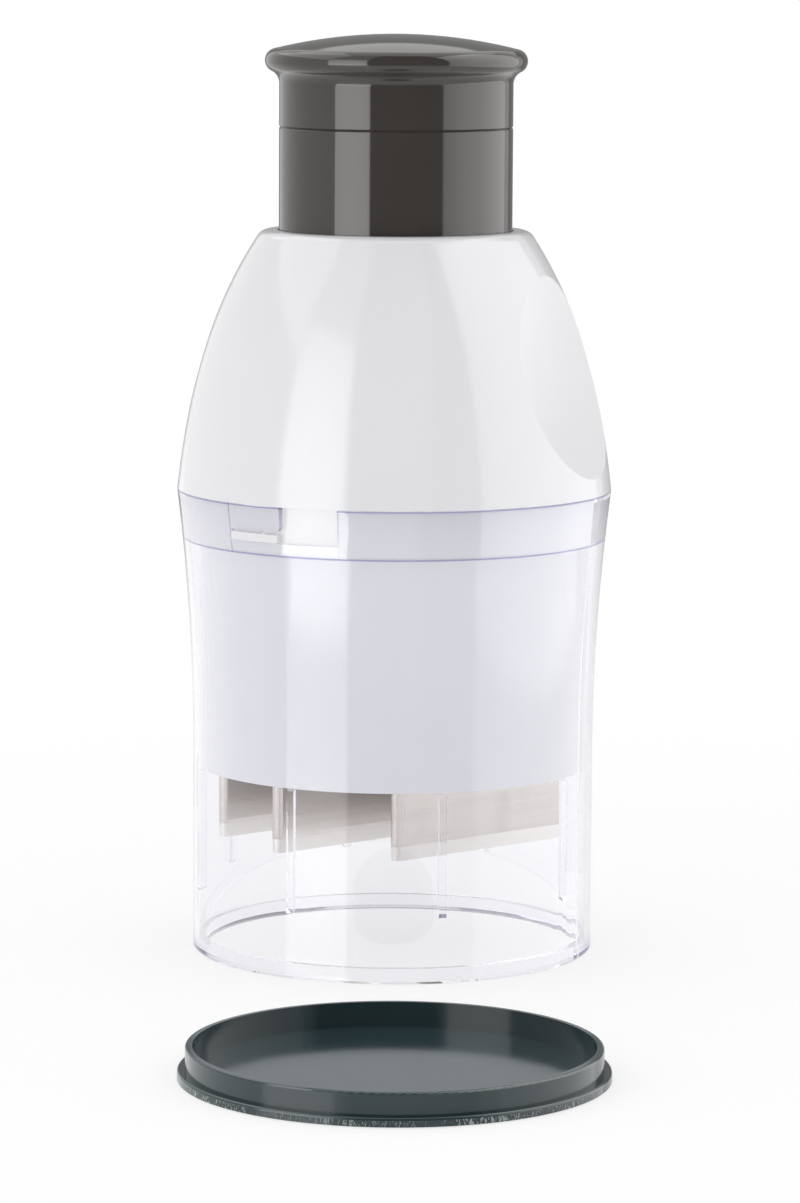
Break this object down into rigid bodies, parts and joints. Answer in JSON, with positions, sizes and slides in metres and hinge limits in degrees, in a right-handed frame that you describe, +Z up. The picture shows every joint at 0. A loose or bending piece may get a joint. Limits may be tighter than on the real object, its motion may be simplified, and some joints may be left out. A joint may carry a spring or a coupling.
{
  "type": "plunger food chopper",
  "caption": "Push-plunger food chopper: sprung knob drives a rotating zigzag blade through a wiper plate inside a clear bayonet container, with a plug-in lid.",
  "frame": {"origin": "centre of the container's open lower end, in the plane of the board that it stands on", "axes": "+Z up along the plunger's axis; the housing's front is at -Y, with one bayonet slot there, and its two finger grips are at +X and -X"},
  "size_m": [0.1493, 0.2209, 0.2116],
  "materials": {
    "clear_plastic": "clear polished styrene-acrylonitrile",
    "white_plastic": "glossy white ABS",
    "inner_plastic": "plain white moulding",
    "sleeve_plastic": "glossy white polypropylene",
    "grey_plastic": "glossy dark warm grey ABS",
    "grey_cap_plastic": "glossy dark warm grey ABS",
    "acetal": "natural acetal",
    "zinc_steel": "zinc plated",
    "spring_steel": "drawn steel",
    "blade_steel": "rolled stainless strip with a ground edge",
    "lid_plastic": "dark green grey polypropylene"
  },
  "bodies": {
    "container": {"container": "clear_plastic"},
    "housing": {"housing_shell": "white_plastic", "guide_ring": "inner_plastic", "chassis": "inner_plastic", "chassis_screws": "zinc_steel", "index_crown": "acetal", "crown_screws": "zinc_steel", "guard_retainer": "inner_plastic"},
    "plunger": {"push_barrel": "grey_plastic", "knob_cap": "grey_cap_plastic", "plunger_stem": "acetal", "stem_pin": "zinc_steel", "return_spring": "spring_steel"},
    "blade_unit": {"zigzag_blade": "blade_steel", "blade_carrier": "inner_plastic", "blade_shaft": "spring_steel", "hub_pin": "zinc_steel", "index_rotor": "acetal", "thrust_washer": "zinc_steel", "shaft_circlip": "spring_steel"},
    "guard": {"guard_sleeve": "sleeve_plastic", "wiper_plate": "sleeve_plastic"},
    "lid": {"lid": "lid_plastic"}
  },
  "joints": [
    {"name": "bayonet_twist", "type": "hinge", "parent": "container", "child": "housing", "pos_m": [0, 0, 0.1], "axis": [0, 0, 1], "range_deg": [0, 16.8]},
    {"name": "plunger_press", "type": "slide", "parent": "housing", "child": "plunger", "axis": [0, 0, -1], "range_m": [0, 0.027], "stiffness_N_per_m": 300, "springref_m": -0.02, "deforming": ["return_spring"]},
    {"name": "blade_index", "type": "hinge", "parent": "plunger", "child": "blade_unit", "pos_m": [0, 0, 0.1], "axis": [0, 0, 1], "continuous": true},
    {"name": "guard_turn", "type": "hinge", "parent": "housing", "child": "guard", "pos_m": [0, 0, 0.08], "axis": [0, 0, 1], "continuous": true},
    {"name": "lid_lift", "type": "slide", "parent": "container", "child": "lid", "axis": [0, 0, 1], "range_m": [0, 0.06]}
  ],
  "couplings": [
    {"joint": "guard_turn", "follows": "blade_index", "ratio": 1}
  ]
}
